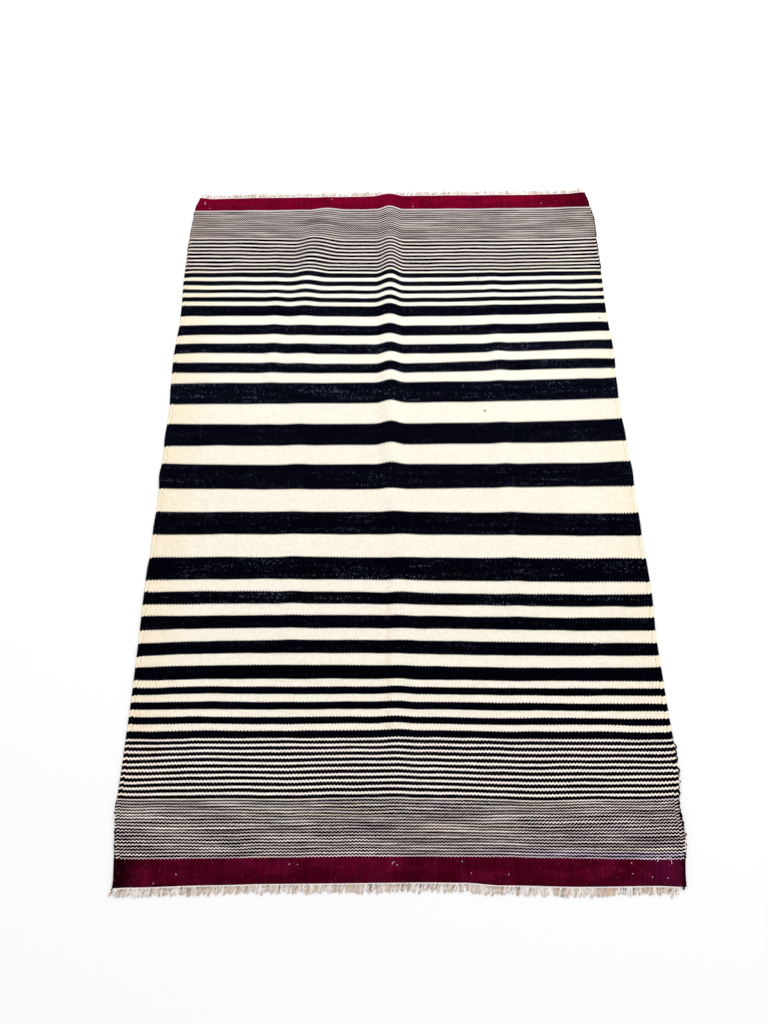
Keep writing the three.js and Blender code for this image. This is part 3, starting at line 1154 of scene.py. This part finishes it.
def dark_picks(f, warp, row):
    """1 on the near-black stripes and lines and 0 elsewhere, and how flecked each stripe is."""
    dark, flecked = 0.0, 0.0
    for start, end, flecks in zip(*STRIPES.values()):
        inside = f.within(row, picks_at(start) - DARK_SPREAD, picks_at(end) + DARK_SPREAD)
        dark = f.plus(dark, inside)
        flecked = f.work("MULTIPLY_ADD", inside, flecks, flecked)
    thinner = f.minus(f.uneven("line", warp, row), 0.5)
    for start, end, _, picks, dark_from, dark_to, uneven in zip(*RUNS.values()):
        first, last = picks_at(start), picks_at(end)
        place = f.work("FRACT", f.over(f.minus(row, first), picks))
        half = f.work("MULTIPLY_ADD", thinner, -uneven, (dark_to - dark_from) / 2)
        line = f.work("COMPARE", place, (dark_from + dark_to) / 2, half)
        dark = f.plus(dark, f.times(line, f.within(row, first, last)))
    return f.held(dark), flecked


# Where the cream and the near-black turn into their far tones: painted light whitens the cream and
# painted sheen lightens the near-black towards the far end
CREAM_LIT_TURNS = (860, 1100)
NAVY_SHEEN_TURNS = (500, 900)
# Where the greyer cream begins, on the last fine line of the far pin stripes
GREY_FROM = 1425.8
# Where painted shade yellows the cream on the left flank of the middle crease: between which ribs, and
# how it fades in
CREASE_SHADE_FROM = RIBS / 2 - 9.5
CREASE_SHADE_TO = RIBS / 2 - 3.8
CREASE_SHADE_ALONG = (700, 400)
# The lilac cream beside the near band: how many picks of it, and the ribs over which it comes in
LILAC_PICKS = 9
LILAC_RIBS = (180, 260)


def cream_wool(f, warp, row, fine, far_fine, outer):
    """Cream with faint streaks, warmer towards the selvedges and mixed in the fine lines."""
    to_side = f.over(f.minus(warp, RIBS / 2), RIBS / 2)
    # Towards the far end the cream turns whiter: painted light
    cream = f.layered(
        CREAM,
        (row, *picks_at(CREAM_LIT_TURNS), 0.8, CREAM_FAR_LIT),
        (f.uneven("streak", warp, row), 0.4, 0.8, 0.6, CREAM_SHADE),
        (to_side, -0.75, -1, 0.75, CREAM_SIDE),
        (to_side, 0.75, 1, 0.35, CREAM_SIDE),
    )
    cream = f.mix(f.times(outer, 0.35), cream, CREAM_SIDE)
    # Painted shade: a warm darker band on the left flank of the middle crease, fading out from the near
    # half
    crease_shade = f.times(f.ramp(warp, CREASE_SHADE_FROM, CREASE_SHADE_TO - 2), f.ramp(warp, CREASE_SHADE_TO, CREASE_SHADE_TO - 1))
    crease_shade = f.times(crease_shade, f.ramp(row, *picks_at(CREASE_SHADE_ALONG), 0, 0.38))
    cream = f.mix(crease_shade, cream, CREAM_CREASE_SHADE)
    hue = f.uneven("hue", warp, row)
    mixed = f.layered(
        CREAM_PINK,
        (hue, 0.46, 0.56, 1, CREAM_LILAC),
        (hue, 0.4, 0.3, 1, CREAM_YELLOW),
    )
    cream = f.mix(f.times(fine, 0.85), cream, mixed)
    cream = f.mix(f.times(far_fine, 0.6), cream, CREAM_GREY)
    band_end = picks_at(NEAR_BAND_END)
    beside_near = f.times(f.within(row, band_end, band_end + LILAC_PICKS), f.ramp(warp, *LILAC_RIBS))
    beside_far = f.work("GREATER_THAN", row, picks_at(RUNS["end"][-1]))
    return f.mix(f.times(f.work("MAXIMUM", beside_near, beside_far), 0.8), cream, CREAM_EDGE)


def navy_wool(f, warp, row, cell, on_rib, flecked, fine, far_fine):
    """Near-black, with paler floats here and there in its rows, and greyer in the far fine lines."""
    in_rows = f.ramp(f.uneven("rows", warp, f.times(cell[1], PICKS_PER_FLOAT)), 0.5, 0.65, 0.05, 1)
    clustered = f.ramp(f.uneven("cluster", warp, row), 0.35, 0.65, 0.4, 1.2)
    fleck = f.ramp(f.chance(*cell, FLECK_CELLS), 0.6, 1, 0.05, 1.4)
    fleck = f.times(fleck, in_rows, flecked, clustered, on_rib)
    # Towards the far end the near-black turns bluer and lighter: painted sheen
    navy = f.mix(f.ramp(row, *picks_at(NAVY_SHEEN_TURNS)), NAVY, NAVY_FAR_SHEEN)
    navy = f.mix(fine, f.mix(fleck, navy, NAVY_FLECK), NAVY_PURPLE)
    return f.mix(far_fine, navy, NAVY_GREY)


# How many ribs wide the ragged dark corner of the near band is, and the tones of its ribs
RAGGED_WIDTH = 3
RIB_TONES = (0.86, 1.14)


def maroon_wool(f, warp, column, patch, far_band):
    """Maroon, brighter far off with painted sheen and nearly black at the near left corner, streaked rib
    by rib.
    """
    ragged = f.plus(warp, f.times(f.chance(column, *RAGGED_RIBS), RAGGED_WIDTH))
    # The far band is brighter than the near one: painted sheen
    far = f.layered(
        MAROON_FAR_SHEEN,
        (patch, 0.4, 0.7, 1, MAROON_BRIGHT),
        # Painted shade: the far band darkens towards its right corner
        (warp, RIBS * 0.84, RIBS, 0.6, MAROON_DARK),
    )
    near = f.layered(
        MAROON_NEAR,
        (patch, 0.4, 0.65, 0.8, MAROON_ROSE),
        (warp, RIBS * 0.9, RIBS * 0.98, 1, MAROON_PURPLE),
        (ragged, 18, 4, 0.95, MAROON_DARK),
        (warp, RIBS - 3, RIBS - 1, 0.8, MAROON_DARK),
    )
    streak = f.ramp(f.chance(column, *STREAKED_RIBS), 0, 1, *RIB_TONES)
    return f.tinted(f.mix(far_band, near, far), streak)


def stained(f, colour, warp, pick):
    """The colour with small marks on it."""
    for x, along, reach in zip(*STAINS.values()):
        aside = f.times(f.minus(warp, (x / HALF_WIDTH + 1) / 2 * RIBS), 2 * HALF_WIDTH / RIBS)
        ahead = f.times(f.minus(pick, picks_at(along)), PICK)
        distance = f.work("SQRT", f.plus(f.times(aside, aside), f.times(ahead, ahead)))
        colour = f.layered(colour, (distance, reach, reach * 0.3, 0.7, STAIN))
    return colour


# The thin warmer, darker line of painted shade in the groove inside each selvedge: half its width in
# ribs, and how much of it shows
LINE_HALF = 0.15
LINE_SHARE = 0.45
# How light the floats are, and how dark the painted shade makes their ends and the valleys between ribs,
# more so on the maroon bands
FLOAT_TONES = (0.94, 1.04)
END_SHADE = 0.93
VALLEY_SHADE = 0.93
BAND_VALLEY_SHADE = 0.2
FLOAT_ROUNDNESS = 0.5
PLY_SHARE = 0.35
WEAVE_DEPTH = 0.00035
MATT = {"Roughness": 0.9, "Specular_IOR_Level": 0.0}


def woven_wool():
    """Weft-faced plain weave: each float is a cell between two warps and two picks."""
    f = Finish("woven_wool")
    warp, pick = f.map(CLOTH_MAP)
    outer = f.minus(1, f.within(warp, EDGE_RIBS, RIBS - EDGE_RIBS))
    over_and_under = f.work("SINE", f.times(warp, math.pi))
    column = f.work("FLOOR", warp)
    sway = f.times(f.minus(f.uneven("sway", warp, pick), 0.5), SWAY_PICKS)
    swing = f.stepped(pick, picks_at(TEETH["along"]), TEETH["picks"])
    row = f.plus(pick, f.times(over_and_under, swing), sway)
    cell = f.over(row, PICKS_PER_FLOAT)
    cell_row, along_cell = f.work("FLOOR", cell), f.work("FRACT", cell)

    # The stripes' edges are ragged by single floats, and drawn along the selvedges in blocks
    jitter = f.times(f.minus(f.chance(column, cell_row, JITTER_CELLS), 0.5), JITTER_PICKS)
    on_right = f.work("GREATER_THAN", warp, RIBS / 2)
    block = f.chance(f.work("FLOOR", f.over(pick, BLOCK_PICKS)), on_right, BLOCK_CELLS)
    edge_row = f.plus(row, jitter, f.times(f.minus(block, 0.5), outer, BLOCK_REACH))

    dark, flecked = dark_picks(f, warp, edge_row)
    band_end = picks_at(NEAR_BAND_END)
    near_band = f.work("LESS_THAN", edge_row, band_end)
    far_band = f.work("GREATER_THAN", edge_row, picks_at(FAR_BAND_START))
    near_fine, near_pin, far_pin, far_fine = (
        f.within(edge_row, picks_at(start), picks_at(end)) for start, end in zip(*RUN_ENDS)
    )
    mixed = f.plus(f.within(edge_row, band_end, picks_at(RUNS["start"][1])), f.times(near_pin, 0.3))
    grey = f.work("GREATER_THAN", edge_row, picks_at(GREY_FROM))
    cream = cream_wool(f, warp, row, mixed, grey, outer)
    cream = f.mix(f.plus(f.times(near_pin, 0.4), f.times(far_pin, 0.85)), cream, CREAM_PINK)
    # Painted shade in the groove inside each selvedge
    for rib in (EDGE_RIBS, RIBS - EDGE_RIBS):
        line = f.within(warp, rib - LINE_HALF, rib + LINE_HALF)
        cream = f.mix(f.times(line, LINE_SHARE), cream, SELVEDGE_GROOVE_SHADE)
    fine = f.plus(near_fine, far_fine, f.times(f.plus(near_pin, far_pin), 0.7))
    across_cell = f.work("ABSOLUTE", over_and_under)
    on_rib = f.ramp(across_cell, 0.3, 0.95)
    navy = navy_wool(f, warp, row, (column, cell_row), on_rib, flecked, fine, far_fine)
    band = f.work("MAXIMUM", near_band, far_band)
    maroon = maroon_wool(f, warp, column, f.uneven("patch", warp, pick), far_band)
    speck = f.ramp(f.chance(column, cell_row, SPECK_CELLS), 0.95, 1, 0, 0.3)
    maroon = f.mix(f.times(speck, on_rib), maroon, MAROON_SPECK)
    colour = f.mix(band, f.mix(dark, cream, navy), maroon)
    colour = stained(f, colour, warp, pick)

    # Each float has its own tone, and painted shade darkens it where it dives between the warps and at
    # its ends
    tone = f.ramp(f.chance(column, cell_row, TONE_CELLS), 0, 1, *FLOAT_TONES)
    valley_shade = f.work("MULTIPLY_ADD", band, -BAND_VALLEY_SHADE, VALLEY_SHADE)
    valley_shade = f.ramp(across_cell, 0, 0.55, valley_shade, 1)
    colour = f.tinted(colour, f.times(tone, valley_shade, f.ramp(along_cell, 0, 0.2, END_SHADE, 1)))

    round_float = f.work("POWER", f.work("SINE", f.times(along_cell, math.pi)), FLOAT_ROUNDNESS)
    height = f.times(round_float, f.ramp(across_cell, 0, 0.8, 0.3, 1))
    height = f.plus(height, f.times(f.uneven("ply", warp, row), PLY_SHARE))
    return f.close(colour, height, WEAVE_DEPTH, **MATT)


YARN_PALE = linear(254, 248, 243)
YARN_BEIGE = linear(227, 208, 192)
YARN_PEACH = linear(226, 190, 162)
YARN_DARK_AND_SHADOW = linear(112, 78, 66)


# How fast the strands' tone drifts, and how often the two plies cross
STRAND_DRIFT = 0.16
TWIST_PER_PLACE = 7.0
TWIST_PER_NUMBER = 0.37
YARN_DEPTH = 0.0001


def warp_yarn():
    """Undyed yarn, paler at the heading and browner on some strands, with its twist."""
    f = Finish("warp_yarn")
    number, place = f.map(YARN_MAP)
    strand = f.work("FLOOR", f.over(number, YARN_NUMBERS_PER_STRAND))
    colour = f.layered(
        YARN_PALE,
        (f.chance(strand, *BEIGE_STRANDS), 0.1, 0.9, 1, YARN_BEIGE),
        (f.noise(f.times(strand, STRAND_DRIFT), 0, 3), 0.5, 0.7, 0.6, YARN_PEACH),
        # Some plies are dark brown: partly darker yarn, partly painted shadow between the yarns
        (f.chance(number, *DARK_AND_SHADOWED_PLIES), 0.62, 0.95, 0.95, YARN_DARK_AND_SHADOW),
        (place, 3, 9, 0.35, YARN_BEIGE),
    )
    colour = f.mix(f.work("LESS_THAN", number, 0), colour, YARN_PALE)
    turned = f.times(f.plus(place, f.times(number, TWIST_PER_NUMBER)), TWIST_PER_PLACE)
    return f.close(colour, f.work("SINE", turned), YARN_DEPTH, **MATT)


FLOOR = linear(238, 238, 238)
FLOOR_HALF = 6.0
FLOOR_GRAIN = 3.0
FLOOR_DEPTH = 0.0001


def pale_floor():
    """A plain pale floor, not part of the rug."""
    mesh = bpy.data.meshes.new("floor")
    corners = [(x * FLOOR_HALF, y * FLOOR_HALF, 0) for x, y in ((-1, -1), (1, -1), (1, 1), (-1, 1))]
    mesh.from_pydata(corners, [], [(0, 1, 2, 3)])
    floor = bpy.data.objects.new("floor", mesh)
    bpy.context.scene.collection.objects.link(floor)
    f = Finish("pale_floor")
    grain = f.node("TexNoise", f.node("TexCoord").outputs["Object"])
    grain.inputs["Scale"].default_value = FLOOR_GRAIN
    given = {"Roughness": 0.9, "Specular_IOR_Level": 0.1}
    mesh.materials.append(f.close(FLOOR, grain.outputs["Fac"], FLOOR_DEPTH, **given))


# The camera, as the photograph was taken: its place in the tables' own count, its turn in degrees
# and its lens in pixels of the photograph
CAMERA_PLACE = np.array((-27.96, 40.38, 1450.4))
CAMERA_PITCH = math.radians(65.783)
CAMERA_YAW = math.radians(0.3396)
CAMERA_ROLL = math.radians(0.0965)
FOCAL_PIXELS = 769.0
LONG_SIDE_PIXELS = 1024.0
AXIS_OFF_CENTRE_PIXELS = 0.5
SENSOR = 36.0


def photo_camera():
    """The camera that took the photograph."""
    data = bpy.data.cameras.new("camera")
    data.sensor_width = SENSOR
    data.lens = FOCAL_PIXELS / LONG_SIDE_PIXELS * SENSOR
    data.shift_x = -AXIS_OFF_CENTRE_PIXELS / LONG_SIDE_PIXELS
    data.shift_y = AXIS_OFF_CENTRE_PIXELS / LONG_SIDE_PIXELS
    camera = bpy.data.objects.new("camera", data)
    turn = Matrix.Rotation(-CAMERA_YAW, 4, "Z")
    turn @= Matrix.Rotation(math.pi / 2 - CAMERA_PITCH, 4, "X")
    turn @= Matrix.Rotation(CAMERA_ROLL, 4, "Z")
    camera.matrix_world = Matrix.Translation(Vector((CAMERA_PLACE + SHIFT) * MM)) @ turn
    bpy.context.scene.collection.objects.link(camera)
    bpy.context.scene.camera = camera


WORLD_STRENGTH = 0.95
# The lamp beyond the far end, in metres and watts
LAMP_PLACE = Vector((0.9, 2.6, 2))
LAMP_TARGET = Vector((0, 0.5, 0))
LAMP_SIZE = (2.4, 1.6)
LAMP_POWER = 70


def studio():
    """Even light from all round and a broad soft lamp beyond the far end."""
    world = bpy.data.worlds.new("studio")
    world.use_nodes = True
    background = world.node_tree.nodes["Background"]
    background.inputs["Color"].default_value = (1, 1, 1, 1)
    background.inputs["Strength"].default_value = WORLD_STRENGTH
    bpy.context.scene.world = world
    bpy.context.scene.view_settings.view_transform = "Standard"
    data = bpy.data.lights.new("far_lamp", "AREA")
    data.shape = "RECTANGLE"
    data.size, data.size_y = LAMP_SIZE
    data.energy = LAMP_POWER
    lamp = bpy.data.objects.new("far_lamp", data)
    lamp.location = LAMP_PLACE
    lamp.rotation_euler = (LAMP_TARGET - LAMP_PLACE).to_track_quat("-Z", "Y").to_euler()
    bpy.context.scene.collection.objects.link(lamp)


photo_camera()
studio()
pale_floor()
wool = woven_wool()
yarn = warp_yarn()
cloth = rug_panel(wool)
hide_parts("rug_panel")
left_selvedge = selvedge("selvedge_left", -1, wool)
right_selvedge = selvedge("selvedge_right", 1, wool)
carried = carried_yarns(wool)
loose = loose_wool(yarn)
nubs = corner_nubs(wool)
near_fringe = fringe("near", yarn, 5)
far_fringe = fringe("far", yarn, 6)
